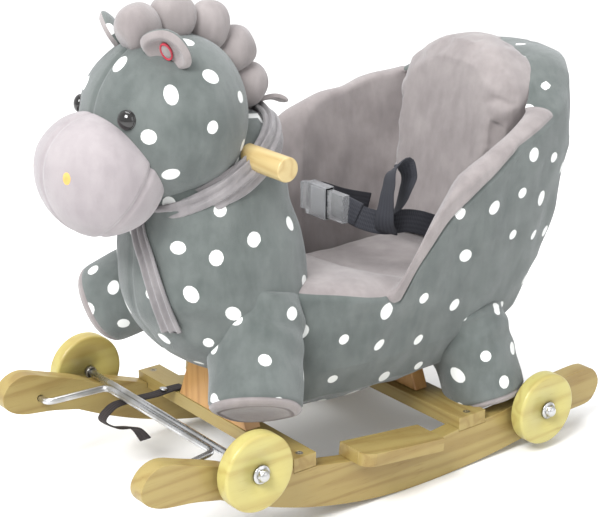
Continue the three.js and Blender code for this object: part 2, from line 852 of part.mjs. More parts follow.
// The belt comes from the rear corners of the seat and meets at a buckle over the lap.
function belt(points) {
  const path = new THREE.CatmullRomCurve3(points.map((p) => new THREE.Vector3(...p)));
  const section = new THREE.Shape();
  section.moveTo(-beltWide / 2, -beltThick / 2);
  section.lineTo(beltWide / 2, -beltThick / 2);
  section.lineTo(beltWide / 2, beltThick / 2);
  section.lineTo(-beltWide / 2, beltThick / 2);
  return solid(new THREE.ExtrudeGeometry(section, { steps: 22, extrudePath: path, bevelEnabled: false }));
}

const beltStart = buckleLong / 2 + 13;
const beltEnd = seatHalf - beltInset;
for (const [side, hand] of sides) {
  const start = buckleCentre.x + hand * (side === 'left' ? beltStart + buckleLong / 2 : beltStart);
  add(`belt_${side}`, belt([
    [start + hand * gap, buckleCentre.y, buckleCentre.z],
    [start + hand * 14, buckleCentre.y + 6, buckleCentre.z - 1],
    [hand * (beltEnd - 14), 258, 258],
    [hand * beltEnd, 308, 238],
    [hand * beltEnd, 342, 228],
  ]), 'webbing');
}

// The socket is a flat box, open toward the tongue; the tongue is a plate with two spring arms.
const half = { x: buckleLong / 2, y: buckleThick / 2, z: buckleWide / 2 };
const inside = { y: half.y - buckleWall, z: half.z - buckleWall };
const place = (manifold) => manifold.translate(buckleCentre.toArray());
const socketShell = box(-half.x, half.x, -half.y, half.y, -half.z, half.z);
const socketHollow = box(-half.x + 8, half.x + 1, -inside.y, inside.y, -inside.z, inside.z);
const socketBar = box(-half.x - 12 + gap, -half.x + 1, -inside.y, inside.y, -half.z + 3, half.z - 3);
add('buckle_socket', place(socketShell.subtract(socketHollow).add(socketBar)), 'plastic');

const tongueStart = half.x + gap;
const tongueEnd = half.x + beltStart - gap - 2;
const tongueBase = box(tongueStart, tongueEnd, -inside.y, inside.y, -half.z + 3, half.z - 3);

// An arm of the tongue reaches into the socket between two heights.
function tongueReach(z0, z1) {
  const y = inside.y - buckleFit;
  return box(-half.x + 12, half.x + 1, -y, y, z0, z1);
}

const armEdge = inside.z - buckleFit;
const tongue = tongueBase
  .add(tongueReach(-armEdge, -armEdge + tongueArm))
  .add(tongueReach(-3, 3))
  .add(tongueReach(armEdge - tongueArm, armEdge));
add('buckle_tongue', place(tongue), 'plastic');

// ---- Finish -------------------------------------------------------------------------------------

const extent = new THREE.Box3().setFromObject(horse);
horse.position.y = -(extent.min.y + extent.max.y) / 2;

export default horse;
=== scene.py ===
import json
import math

import bmesh
import bpy
import numpy as np
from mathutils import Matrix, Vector

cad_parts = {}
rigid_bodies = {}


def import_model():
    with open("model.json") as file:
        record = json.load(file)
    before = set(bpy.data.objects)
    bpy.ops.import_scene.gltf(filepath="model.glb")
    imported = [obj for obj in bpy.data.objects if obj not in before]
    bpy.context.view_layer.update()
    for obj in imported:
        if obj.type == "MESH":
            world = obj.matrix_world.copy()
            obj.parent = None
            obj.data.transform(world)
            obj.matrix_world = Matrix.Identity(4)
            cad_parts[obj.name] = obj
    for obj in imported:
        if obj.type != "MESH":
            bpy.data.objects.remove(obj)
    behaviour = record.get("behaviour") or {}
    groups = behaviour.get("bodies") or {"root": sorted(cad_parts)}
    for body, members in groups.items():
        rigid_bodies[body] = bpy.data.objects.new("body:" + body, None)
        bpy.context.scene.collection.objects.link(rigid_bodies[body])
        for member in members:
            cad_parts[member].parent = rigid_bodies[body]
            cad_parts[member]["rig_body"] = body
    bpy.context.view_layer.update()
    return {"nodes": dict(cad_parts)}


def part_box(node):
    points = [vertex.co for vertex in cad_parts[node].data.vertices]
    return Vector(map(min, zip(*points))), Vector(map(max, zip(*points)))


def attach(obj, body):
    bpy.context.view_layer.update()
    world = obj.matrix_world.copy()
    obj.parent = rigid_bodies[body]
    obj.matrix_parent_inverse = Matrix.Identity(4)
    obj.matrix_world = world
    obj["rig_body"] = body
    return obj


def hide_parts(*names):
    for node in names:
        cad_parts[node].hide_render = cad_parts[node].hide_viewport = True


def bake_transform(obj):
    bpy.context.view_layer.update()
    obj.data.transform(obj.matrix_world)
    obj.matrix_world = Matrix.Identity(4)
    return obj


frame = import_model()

# ---- Camera, floor and light ---------------------------------------------------------------------
# The horse stands on a plain pale floor in a bright studio, seen from its left front and above.
# Three wide soft lamps and a white room light it almost without shadow.

wheel_low, wheel_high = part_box("wheel_front_left")
front_axle = Vector((0, (wheel_low.y + wheel_high.y) / 2, (wheel_low.z + wheel_high.z) / 2))
camera = bpy.data.objects.new("camera", bpy.data.cameras.new("camera"))
camera.location = front_axle + Vector((1.2939, -0.8317, 0.7073))
camera.rotation_euler = (math.radians(70.69), 0, math.radians(52.13))
camera.data.lens = 98.98
bpy.context.scene.collection.objects.link(camera)
bpy.context.scene.camera = camera


def lamp(name, place, size, power):
    """A square soft lamp that faces the seat."""
    light = bpy.data.lights.new(name, "AREA")
    light.size = size
    light.energy = power
    holder = bpy.data.objects.new(name, light)
    holder.location = place
    holder.rotation_euler = (Vector((0, 0, 0.25)) - Vector(place)).to_track_quat("-Z", "Y").to_euler()
    bpy.context.scene.collection.objects.link(holder)


lamp("key_lamp", (0.9, -2.1, 2.5), 1.3, 112)
lamp("side_lamp", (2.4, 0.9, 1.3), 1.8, 12)
lamp("top_lamp", (-0.6, 0.4, 2.8), 1.8, 44)

room = bpy.data.worlds.new("white_room")
room.use_nodes = True
room.node_tree.nodes["Background"].inputs["Color"].default_value = (1, 1, 1, 1)
room.node_tree.nodes["Background"].inputs["Strength"].default_value = 0.9
bpy.context.scene.world = room
bpy.context.scene.view_settings.view_transform = "Standard"

floor_mesh = bpy.data.meshes.new("floor")
floor_mesh.from_pydata([(-9, -9, 0), (9, -9, 0), (9, 9, 0), (-9, 9, 0)], [], [(0, 1, 2, 3)])
floor = bpy.data.objects.new("floor", floor_mesh)
bpy.context.scene.collection.objects.link(floor)
floor_paint = bpy.data.materials.new("floor_paint")
floor_paint.use_nodes = True
floor_paint.node_tree.nodes["Principled BSDF"].inputs["Base Color"].default_value = (0.9, 0.9, 0.9, 1)
floor_paint.node_tree.nodes["Principled BSDF"].inputs["Roughness"].default_value = 0.9
floor_mesh.materials.append(floor_paint)

# ---- Rockers, crossbars and footrests ------------------------------------------------------------
# Sawn pine planks, planed and clear-varnished, with their edges rubbed round. The crossbars lie in
# notches in the rockers and the footrests are slabs screwed on top of them.


class Wire:
    """A value on its way through a shader. Arithmetic on it adds Math nodes, and node() adds any other."""

    def __init__(self, tree, socket):
        self.tree = tree
        self.socket = socket

    def node(self, kind, settings, inputs, output=0):
        """Adds a node: its settings first, then the values or wires of its inputs."""
        made = self.tree.nodes.new("ShaderNode" + kind)
        for name, value in settings.items():
            setattr(made, name, value)
        for name, value in inputs.items():
            if isinstance(value, Wire):
                self.tree.links.new(value.socket, made.inputs[name])
            else:
                made.inputs[name].default_value = value
        return Wire(self.tree, made.outputs[output])

    def maths(self, operation, first, second=0.0):
        return self.node("Math", {"operation": operation}, {0: first, 1: second})

    def __add__(self, other):
        return self.maths("ADD", self, other)

    def __mul__(self, other):
        return self.maths("MULTIPLY", self, other)

    def __sub__(self, other):
        return self.maths("SUBTRACT", self, other)

    def __rsub__(self, other):
        return self.maths("SUBTRACT", other, self)

    def __pow__(self, other):
        return self.maths("POWER", self, other)

    __radd__ = __add__
    __rmul__ = __mul__

    def sine(self):
        return self.maths("SINE", self)

    def step(self, low, high):
        """0 below low and 1 above high, smooth between."""
        settings = {"interpolation_type": "SMOOTHSTEP"}
        return self.node("MapRange", settings, {"Value": self, "From Min": low, "From Max": high})

    def noise(self, scale, detail=2.0, rough=0.5):
        inputs = {"Vector": self, "Scale": scale, "Detail": detail, "Roughness": rough}
        return self.node("TexNoise", {}, inputs)

    def blend(self, low, high):
        """The colour low where this is 0 and high where it is 1."""
        return self.node("Mix", {"data_type": "RGBA"}, {0: self, 6: low, 7: high}, 2)


def tint(red, green, blue):
    """A colour chart's tint, 0 to 255, as linear light."""
    share = np.array([red, green, blue]) / 255
    linear = np.where(share > 0.04045, ((share + 0.055) / 1.055) ** 2.4, share / 12.92)
    return (*linear.tolist(), 1.0)


def begin_finish(name):
    """A new material and the wire of the point's place on its piece."""
    material = bpy.data.materials.new(name)
    material.use_nodes = True
    tree = material.node_tree
    return material, Wire(tree, tree.nodes.new("ShaderNodeTexCoord").outputs["Object"])


def close_finish(material, colour, roughness, height=None, depth=0.0, fixed=()):
    """Joins a finish to its shader. height is a wire from 0 to 1 that stands depth metres high."""
    tree = material.node_tree
    shader = tree.nodes["Principled BSDF"]
    feeds = {"Base Color": colour, "Roughness": roughness, **dict(fixed)}
    if height is not None:
        feeds["Normal"] = height.node("Bump", {}, {"Height": height, "Distance": depth})
    for name, value in feeds.items():
        if isinstance(value, Wire):
            tree.links.new(value.socket, shader.inputs[name])
        else:
            shader.inputs[name].default_value = value
    return material


def wood(name, along, pale, dark, roughness=0.5):
    """Planed wood: growth rings are the sine of a noise drawn out along the grain, crossed by short
    darker pores and broad warm patches."""
    material, place = begin_finish(name)
    drawn_out = [0.06 if axis == along else 1.0 for axis in "xyz"]
    grain = place.node("Mapping", {}, {"Vector": place, "Scale": drawn_out})
    rings = (grain.noise(16, 3) * 52).sine() * 0.5 + 0.5
    pores = grain.noise(700, 2, 0.6).step(0.55, 0.8)
    patches = place.noise(9, 3).step(0.35, 0.72)
    tone = rings ** 2 * 0.42 + pores * 0.3 + patches * 0.3
    rubbed = place.noise(60, 4)
    colour = tone.blend(pale, dark)
    shine = rubbed * 0.2 + (roughness - 0.1) + pores * 0.1
    relief = 1.0 - rings * 0.5 - pores * 0.5
    return close_finish(material, colour, shine, relief, 0.00016, {"Coat Weight": 0.12}.items())


pine_pale = tint(158, 140, 84)
pine_dark = tint(124, 97, 46)
pine_along = wood("pine_lengthwise", "y", pine_pale, pine_dark)
pine_across = wood("pine_crosswise", "x", pine_pale, pine_dark)


def eased(node, finish, width=0.0018):
    """A copy of a sawn CAD piece with its long sharp edges rubbed round by width."""
    mesh = frame["nodes"][node].data.copy()
    work = bmesh.new()
    work.from_mesh(mesh)
    bmesh.ops.remove_doubles(work, verts=work.verts, dist=1e-6)
    bmesh.ops.dissolve_limit(work, angle_limit=0.01, verts=work.verts, edges=work.edges)
    weight = work.edges.layers.float.new("bevel_weight_edge")
    for edge in work.edges:
        sharp = len(edge.link_faces) == 2 and edge.calc_face_angle(0) > 0.6
        edge[weight] = float(sharp and edge.calc_length() > 0.0022)
        edge.smooth = not sharp
    work.to_mesh(mesh)
    work.free()
    mesh.shade_smooth()
    mesh.set_sharp_from_angle(angle=0.6)
    mesh.materials.clear()
    mesh.materials.append(finish)
    piece = bpy.data.objects.new(node + "_piece", mesh)
    bpy.context.scene.collection.objects.link(piece)
    rub = piece.modifiers.new("rubbed_edges", "BEVEL")
    rub.width = width
    rub.segments = 3
    rub.limit_method = "WEIGHT"
    rub.harden_normals = True
    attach(piece, frame["nodes"][node]["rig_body"])
    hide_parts(node)
    return piece


for side in ("left", "right"):
    eased(f"rocker_{side}", pine_along, 0.0025)
    eased(f"footrest_{side}", pine_along, 0.002)
for end in ("front", "rear"):
    eased(f"{end}_crossbar", pine_across, 0.0015)

# ---- Posts, boards and handle --------------------------------------------------------------------
# The posts are warmer planks that stand on the crossbars and carry the plywood seat and back boards.
# The handle is a pine dowel through the head's base, laid in the front post's top.

warm_wood = wood("warm_plank", "z", tint(192, 148, 90), tint(146, 98, 52))
ply = wood("plywood", "x", tint(200, 170, 124), tint(160, 124, 80), 0.65)
eased("front_post", warm_wood)
eased("rear_post", warm_wood)
eased("seat_board", ply, 0.001)
eased("back_board", ply, 0.001)


def skin(name, rings, finish, body, nodes=(), loop=False):
    """A closed surface through rings of points, (ring, point round it, xyz), each ring joined to the
    next. The two end rings are closed by a fan, or joined to each other where loop is true. The map
    named cloth gives metres round and along it."""
    rings = np.asarray(rings, float)
    count, around = rings.shape[:2]
    i = np.arange(around)
    j = (i + 1) % around
    rows = count if loop else count - 1
    low = np.arange(rows)[:, None] * around
    high = (np.arange(1, rows + 1) % count)[:, None] * around
    quads = np.stack([low + i, low + j, high + j, high + i], -1).reshape(-1, 4)
    points = rings.reshape(-1, 3)
    steps = np.linalg.norm(np.diff(rings, axis=0, append=rings[:1]), axis=2).mean(1)
    along = np.concatenate([[0], np.cumsum(steps)])
    girth = np.linalg.norm(np.roll(rings, -1, 1) - rings, axis=2).sum(1).mean()
    turn = np.arange(around + 1) / around * girth
    corner_u = np.tile(np.stack([turn[:-1], turn[1:], turn[1:], turn[:-1]], -1), (rows, 1, 1))
    corner_v = np.stack([along[:rows], along[:rows], along[1:rows + 1], along[1:rows + 1]], -1)
    corner_v = np.repeat(corner_v[:, None], around, 1)
    faces = quads.tolist()
    cloth = np.stack([corner_u, corner_v], -1).reshape(-1, 2)
    if not loop:
        middles = rings[[0, -1]].mean(1)
        points = np.concatenate([points, middles])
        last = (count - 1) * around
        fans = np.concatenate([
            np.stack([np.full(around, len(points) - 2), j, i], -1),
            np.stack([np.full(around, len(points) - 1), last + i, last + j], -1),
        ])
        faces += fans.tolist()
        cloth = np.concatenate([cloth, np.zeros((len(fans) * 3, 2))])
    a, b, c = points[quads[:, 0]], points[quads[:, 1]], points[quads[:, 2]]
    d = points[quads[:, 3]]
    inward = (np.cross(b - a, c - a) * a).sum() + (np.cross(c - a, d - a) * a).sum() < 0
    mesh = bpy.data.meshes.new(name)
    mesh.from_pydata(points.tolist(), [], faces)
    mesh.uv_layers.new(name="cloth").data.foreach_set("uv", cloth.ravel())
    if inward:
        mesh.flip_normals()
    mesh.shade_smooth()
    mesh.materials.append(finish)
    piece = bpy.data.objects.new(name, mesh)
    bpy.context.scene.collection.objects.link(piece)
    if body:
        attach(piece, body)
    if nodes:
        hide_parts(*nodes)
    return piece


def turned(name, profile, centre, finish, body, nodes, hand=1, around=64, loop=False):
    """A turned piece: a profile of (place along X, radius), carried round an axis along X at centre."""
    profile = np.array(profile, float)
    turn = np.linspace(0, 2 * np.pi, around, endpoint=False)
    rings = np.empty((len(profile), around, 3))
    rings[..., 0] = centre[0] + hand * profile[:, :1]
    rings[..., 1] = centre[1] + profile[:, 1:] * np.cos(turn)
    rings[..., 2] = centre[2] + profile[:, 1:] * np.sin(turn)
    return skin(name, rings, finish, body, nodes, loop)


def rounded(x0, x1, radius, edge, inner=0.0):
    """The profile of a disc or rod from x0 to x1 with quarter-round edges, down to an inner radius."""
    bend = np.linspace(0, np.pi / 2, 7)
    rise = np.stack([x0 + edge - edge * np.cos(bend), radius - edge + edge * np.sin(bend)], -1)
    fall = np.stack([x1 - edge + edge * np.sin(bend), radius - edge + edge * np.cos(bend)], -1)
    return np.concatenate([[(x0, inner)], rise, fall, [(x1, inner)]])


handle_low, handle_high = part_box("handle_bar")
handle_centre = (handle_low + handle_high) / 2
handle_wood = wood("handle_wood", "x", tint(190, 172, 124), tint(164, 138, 88), 0.4)
dowel = rounded(handle_low.x, handle_high.x, (handle_high.z - handle_low.z) / 2, 0.0018, 1e-5)
handle_place = (0, handle_centre.y, handle_centre.z)
turned("handle_dowel", dowel, handle_place, handle_wood, "horse", ["handle_bar"])

# ---- Wheels, nuts, axles and crank ---------------------------------------------------------------
# Turned pine discs run on steel rods and are held by domed nuts over washers. The front pair turns on
# an axle carried by a bent steel crank that swings about pins in the rockers.

wheel_wood = wood("wheel_wood", "y", tint(184, 175, 106), tint(156, 134, 70), 0.42)


def bright_steel(name, colour, roughness):
    """Plated steel with faint rubbing marks."""
    material, place = begin_finish(name)
    marks = place.noise(260, 4, 0.7)
    dull = place.noise(24, 3).step(0.4, 0.75)
    shine = marks * 0.14 + dull * 0.12 + (roughness - 0.07)
    metal = {"Metallic": 1.0}.items()
    return close_finish(material, dull.blend(colour, tint(150, 148, 142)), shine, marks, 0.00004, metal)


steel = bright_steel("plated_steel", tint(205, 206, 208), 0.26)
brass_steel = bright_steel("dull_screw_steel", tint(158, 146, 116), 0.42)


def cap_nut(name, centre, hand, body):
    """A washer, then a six-sided nut whose flats melt into a dome: the radius is the hexagon's, turning
    into a circle's towards the tip."""
    low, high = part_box(name)
    long, washer = high.x - low.x, (high.z - low.z) / 2
    start = low.x if hand > 0 else high.x
    turn = np.linspace(0, 2 * np.pi, 72, endpoint=False)
    hexagon = math.cos(math.pi / 6) / np.cos(np.mod(turn, math.pi / 3) - math.pi / 6)
    dome = np.linspace(0, np.pi / 2, 9)[:-1]
    nut = washer * 0.7
    profile = [(0, washer * 0.5, 1), (0, washer * 0.95, 1), (0.0005, washer, 1), (0.0013, washer, 1)]
    profile += [(0.0018, washer * 0.95, 1), (0.0018, nut, 0.6), (0.0022, nut * 1.06, 0)]
    profile += [(long * 0.52, nut * 1.06, 0)]
    dome_start = long * 0.52 + 0.0004
    profile += [(dome_start + long * 0.44 * math.sin(t), nut * 0.9 * math.cos(t), 1) for t in dome]
    profile = np.array(profile)
    shape = profile[:, 2:] + (1 - profile[:, 2:]) * hexagon
    rings = np.empty((len(profile), len(turn), 3))
    rings[..., 0] = start + hand * profile[:, :1]
    rings[..., 1] = centre[1] + profile[:, 1:2] * shape * np.cos(turn)
    rings[..., 2] = centre[2] + profile[:, 1:2] * shape * np.sin(turn)
    return skin(name + "_domed", rings, steel, body, [name])


for end in ("front", "rear"):
    for side, hand in (("left", 1), ("right", -1)):
        node = f"wheel_{end}_{side}"
        low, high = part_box(node)
        centre = (low + high) / 2
        profile = rounded(low.x - centre.x, high.x - centre.x, (high.z - low.z) / 2, 0.0032, 0.0045)
        turned(node + "_disc", profile, centre, wheel_wood, f"{end}_{side}_wheel", [node],
               around=96, loop=True)
        nut = f"cap_nut_{end}_{side}"
        cap_nut(nut, centre, hand, frame["nodes"][nut]["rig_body"])
for node in ("front_axle", "axle_collar_left", "axle_collar_right"):
    low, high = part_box(node)
    centre = (low + high) / 2
    hollow = "collar" in node
    bore = 0.0045 if hollow else 1e-5
    profile = rounded(low.x - centre.x, high.x - centre.x, (high.z - low.z) / 2, 0.0006, bore)
    turned(node + "_steel", profile, centre, steel, "front_axle_frame", [node], loop=hollow)
for side, hand in (("left", 1), ("right", -1)):
    low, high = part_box(f"rear_axle_bolt_{side}")
    centre = (low + high) / 2
    head, long = (high.z - low.z) / 2, high.x - low.x
    profile = [(0, 1e-5), (0, head * 0.9), (0.0008, head), (0.0025, head), (0.003, head * 0.9)]
    profile += [(0.003, 0.004), (long - 0.001, 0.004), (long, 0.003), (long, 1e-5)]
    start = low.x if hand > 0 else high.x
    turned(f"rear_axle_bolt_{side}_steel", profile, (start, centre.y, centre.z), steel, "horse",
           [f"rear_axle_bolt_{side}"], hand)


def carried(path, across, section):
    """A section, points of (across, up), carried along a path: at each point of the path, across is made
    square to it and up is square to both."""
    path = np.asarray(path, float)
    forward = np.gradient(path, axis=0)
    forward /= np.linalg.norm(forward, axis=1, keepdims=True)
    across = np.broadcast_to(np.asarray(across, float), path.shape)
    across = across - forward * (across * forward).sum(1, keepdims=True)
    across /= np.linalg.norm(across, axis=1, keepdims=True)
    up = np.cross(forward, across)
    section = np.broadcast_to(section, (len(path), *np.shape(section)[-2:]))
    return path[:, None] + section[..., :1] * across[:, None] + section[..., 1:] * up[:, None]


def through(points, count):
    """A smooth curve through points: a cubic between each two, with its slope from their neighbours."""
    points = np.asarray(points, float)
    along = np.concatenate([[0], np.cumsum(np.linalg.norm(np.diff(points, axis=0), axis=1))])
    slopes = np.gradient(points, along, axis=0)
    at = np.linspace(0, along[-1], count)
    k = np.clip(np.searchsorted(along, at) - 1, 0, len(points) - 2)
    gap = (along[k + 1] - along[k])[:, None]
    t = (at - along[k])[:, None] / gap
    ends = points[k] * (2 * t**3 - 3 * t**2 + 1) + points[k + 1] * (3 * t**2 - 2 * t**3)
    return ends + slopes[k] * gap * (t**3 - 2 * t**2 + t) + slopes[k + 1] * gap * (t**3 - t**2)


# The crank: pins in the rockers, two slanting arms, and the stretch beside the axle.
crank_low, crank_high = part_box("crank_rod")
rod = 0.0035
pivot_y, beside_y = crank_low.y + rod, crank_high.y - rod
pivot_z, beside_z = crank_low.z + rod, crank_high.z - rod
arm_top, arm_foot = 0.108, 0.098
corners = [
    (crank_high.x, pivot_y, pivot_z), (arm_top, pivot_y, pivot_z), (arm_foot, beside_y, beside_z),
    (-arm_foot, beside_y, beside_z), (-arm_top, pivot_y, pivot_z), (-crank_high.x, pivot_y, pivot_z),
]
corners = np.array(corners)
bend_radius = 0.009
pieces = [corners[:1]]
for before, corner, after in zip(corners[:-2], corners[1:-1], corners[2:]):
    start = corner + (before - corner) / np.linalg.norm(before - corner) * bend_radius
    end = corner + (after - corner) / np.linalg.norm(after - corner) * bend_radius
    t = np.linspace(0, 1, 9)[:, None]
    pieces.append(start * (1 - t) ** 2 + corner * 2 * t * (1 - t) + end * t**2)
pieces.append(corners[-1:])
turn = np.linspace(0, 2 * np.pi, 24, endpoint=False)
round_section = rod * np.stack([np.cos(turn), np.sin(turn)], -1)
crank_rings = carried(np.concatenate(pieces), (0, 0, 1), round_section)
skin("crank_steel", crank_rings, steel, "front_axle_frame", ["crank_rod"])

# ---- Wood screws ---------------------------------------------------------------------------------
# Countersunk steel screws with a cross recess fasten the crossbars and footrests, sunk just below the
# wood.


footrest_slope = 0.1085


def screw_head(node):
    """A screw's flat head, radius outward and depth down: the recess is a cross, so depth falls where
    either the across or the along distance from the middle is small."""
    low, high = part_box(node)
    centre = (low + high) / 2
    tilted = "footrest" in node
    tilt = math.atan(footrest_slope) if tilted else 0.0
    radius = 0.004
    turn = np.linspace(0, 2 * np.pi, 48, endpoint=False)
    reach = np.concatenate([np.linspace(0.0001, 0.0026, 12), np.linspace(0.0028, radius - 0.0002, 4)])
    x = reach[:, None] * np.cos(turn)
    y = reach[:, None] * np.sin(turn)
    arm = np.minimum(np.abs(x), np.abs(y))
    cross = np.clip((0.0007 - arm) / 0.0003, 0, 1) * np.clip((0.0024 - reach[:, None]) / 0.0003, 0, 1)
    face = np.stack([x, y, -0.0014 * cross], -1)
    rim = np.array([
        (radius, -0.0004), (radius, -0.0006), (0.0019, -0.003), (0.0019, -0.02), (0.0001, -0.022),
    ])
    below = np.stack([rim[:, :1] * np.cos(turn), rim[:, :1] * np.sin(turn), rim[:, 1:] + 0 * turn], -1)
    rings = np.concatenate([face, below])
    y, z = rings[..., 1].copy(), rings[..., 2].copy()
    rings[..., 1] = y * math.cos(tilt) + z * math.sin(tilt)
    rings[..., 2] = z * math.cos(tilt) - y * math.sin(tilt)
    top = high.z - (radius * math.sin(tilt) if tilted else 0)
    head_y = centre.y if not tilted else high.y - radius * math.cos(tilt)
    rings += (centre.x, head_y, top - 0.0003)
    skin(node + "_steel", rings, brass_steel, "horse", [node])


for side in ("left", "right"):
    for node in (f"front_crossbar_screw_{side}", f"rear_crossbar_screw_{side}",
                 f"footrest_screw_{side}_front", f"footrest_screw_{side}_rear"):
        screw_head(node)

# ---- Axle strap ----------------------------------------------------------------------------------
# A short black woven strap fixed to the front crossbar. It ties the axle up when the horse rocks, is
# held by a press stud, and its loose end hangs in a loop.


def woven(name, pale, dark, thread):
    """Woven band: ribs across it and a fine thread along it, from the cloth map in metres."""
    material, place = begin_finish(name)
    cloth = place.node("UVMap", {"uv_map": "cloth"}, {})
    along = cloth.node("SeparateXYZ", {}, {"Vector": cloth}, 1)
    around = cloth.node("SeparateXYZ", {}, {"Vector": cloth}, 0)
    ribs = (along * (2 * math.pi / thread)).sine() * 0.5 + 0.5
    threads = (around * (2 * math.pi / (thread * 0.7))).sine() * 0.5 + 0.5
    weave = ribs * 0.6 + threads * 0.4
    fluff = place.noise(900, 2)
    worn = place.noise(30, 3).step(0.4, 0.8)
    tone = weave * 0.6 + fluff * 0.25 + worn * 0.3
    return close_finish(material, tone.blend(dark, pale), 0.9 - weave * 0.15, weave, 0.0003)


def band_section(width, thick):
    """A flat band's section, with full round edges: a circle's sine and cosine drawn to a flat shape."""
    turn = np.linspace(0, 2 * np.pi, 20, endpoint=False)
    x, y = np.cos(turn), np.sin(turn)
    flat = np.stack([np.sign(x) * np.abs(x) ** 0.25, np.sign(y) * np.abs(y) ** 0.5], -1)
    return flat * (width / 2, thick / 2)


black_weave = woven("black_strap", tint(56, 48, 48), tint(20, 16, 17), 0.0016)
strap_low, strap_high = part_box("axle_strap")
strap_x = (strap_low.x + strap_high.x) / 2
bar_low, bar_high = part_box("front_crossbar")
axle_y, axle_z = front_axle.y, front_axle.z
strap_path = [
    (strap_x, bar_low.y + 0.012, bar_high.z + 0.0016), (strap_x, bar_low.y - 0.001, bar_high.z + 0.0022),
    (strap_x, bar_low.y - 0.022, axle_z - 0.0105), (strap_x, axle_y + 0.008, axle_z - 0.009),
    (strap_x, axle_y - 0.02, axle_z - 0.011), (strap_x, axle_y - 0.031, axle_z - 0.021),
    (strap_x + 0.001, axle_y - 0.018, axle_z - 0.033), (strap_x + 0.003, axle_y + 0.008, axle_z - 0.042),
    (strap_x + 0.004, axle_y + 0.019, axle_z - 0.057),
]
strap_curve = through(strap_path, 70)
strap_twist = np.linspace(0, 1, 70)[:, None] ** 4
strap_across = np.array([1, 0, 0]) * (1 - 0.35 * strap_twist) + np.array([0, 0.5, 0.3]) * strap_twist
strap_rings = carried(strap_curve, strap_across, band_section(0.014, 0.0018))
skin("axle_strap_weave", strap_rings, black_weave, "horse", ["axle_strap"])
stud = rounded(-0.0012, 0.0012, 0.0042, 0.0009, 1e-5)
turn = np.linspace(0, 2 * np.pi, 32, endpoint=False)
stud_rings = np.empty((len(stud), 32, 3))
stud_rings[..., 0] = strap_x + stud[:, 1:] * np.cos(turn)
stud_rings[..., 1] = bar_low.y - 0.012 + stud[:, 1:] * np.sin(turn)
stud_rings[..., 2] = bar_high.z + 0.0045 + stud[:, :1] - 0.1 * stud[:, 1:] * np.sin(turn)
skin("strap_stud", stud_rings, steel, "horse")

# ---- Chest and neck ------------------------------------------------------------------------------
# A sewn sleeve of grey short-pile plush with white dots, stuffed firm, that widens from the neck into the
# chest. It is drawn over the front post and closed under the belly.


def from_axle(points):
    """Millimetres measured back from the front axle, made metres in the horse's own frame."""
    return np.asarray(points, float) / 1000 + (0, front_axle.y, 0)


def plush(name, base, shade, dots=False):
    """Short plush: a pile of fine fibres over broad brushed patches, with a soft sheen. Where the
    attribute dots is below 1 the pile is printed white."""
    material, place = begin_finish(name)
    brushed = place.noise(26, 4, 0.55).step(0.3, 0.72)
    stroke = place.node("Mapping", {}, {"Vector": place, "Scale": (1.0, 1.0, 0.35)}).noise(95, 3)
    fibre = place.noise(1500, 2, 0.7)
    pile = brushed * 0.4 + stroke.step(0.3, 0.7) * 0.25 + fibre * 0.35
    colour = pile.blend(shade, base)
    if dots:
        near = place.node("Attribute", {"attribute_name": "dots"}, {}, 2)
        ragged = near + place.noise(500, 2) * 0.1
        printed = 1.0 - ragged.step(1.0, 1.12)
        colour = printed.blend(colour, tint(226, 228, 226))
    height = fibre * 0.55 + stroke * 0.45
    fixed = {"Sheen Weight": 0.35, "Sheen Roughness": 0.45, "Sheen Tint": (0.9, 0.92, 0.95, 1)}
    return close_finish(material, colour, 0.92 - brushed * 0.12, height, 0.0009, fixed.items())


grey_plush = plush("grey_dotted_plush", tint(106, 112, 110), tint(74, 81, 79), dots=True)
pale_plush = plush("pale_plush", tint(154, 147, 146), tint(122, 115, 115))
# The muzzle's plush is the pale plush made lighter. The extra lightness is painted light, standing in for
# the lamp falling full on the muzzle.
muzzle_painted_light_plush = plush("muzzle_pile_painted_light", tint(166, 159, 161), tint(142, 135, 138))


def stuffed(points, seed, amount=0.0016, wave=0.05):
    """Points pushed out and in by slow lumps: a sum of sines along seeded directions, a wave long."""
    chance = np.random.default_rng(seed)
    ways = chance.normal(size=(7, 3))
    ways *= (2 * np.pi / (wave * chance.uniform(0.7, 1.6, 7)) / np.linalg.norm(ways, axis=1))[:, None]
    lumps = np.sin(points @ ways.T + chance.uniform(0, 6.3, 7)).sum(-1, keepdims=True) / 3
    middle = points.reshape(-1, 3).mean(0)
    out = points - middle
    return points + out / np.linalg.norm(out, axis=-1, keepdims=True) * lumps * amount


def print_dots(piece, seed, apart=0.033):
    """Writes the attribute dots: how far each point is from the nearest dot, in that dot's own radii.
    Dots are picked one by one from the points left at least apart from the earlier ones, and each is
    drawn longer along a direction of its own."""
    chance = np.random.default_rng(seed)
    points = np.empty(len(piece.data.vertices) * 3, np.float32)
    piece.data.vertices.foreach_get("co", points)
    points = points.reshape(-1, 3).astype(float)
    left = points[chance.permutation(len(points))]
    near = np.full(len(points), 9.0)
    while len(left):
        middle = left[0]
        left = left[np.linalg.norm(left - middle, axis=1) > apart * chance.uniform(0.95, 1.2)]
        way = chance.normal(size=3)
        offset = points - middle
        drawn = offset @ (way / np.linalg.norm(way)) * chance.uniform(0.35, 0.75)
        radius = chance.uniform(0.0054, 0.0073)
        near = np.minimum(near, np.sqrt(np.maximum((offset**2).sum(1) - drawn**2, 0)) / radius)
    piece.data.attributes.new("dots", "FLOAT", "POINT").data.foreach_set("value", near.astype(np.float32))


def lined(piece, finish, rows, around):
    """Gives rows of a skin's faces a second finish. The fan before row 0 goes with that row, and the
    fan after the last goes with the last."""
    piece.data.materials.append(finish)
    count = (len(piece.data.polygons) - 2 * around) // around
    marks = np.zeros(count + 2, int)
    marks[rows] = 1
    marks[-2], marks[-1] = marks[0], marks[count - 1]
    piece.data.polygons.foreach_set("material_index", np.repeat(marks, around))


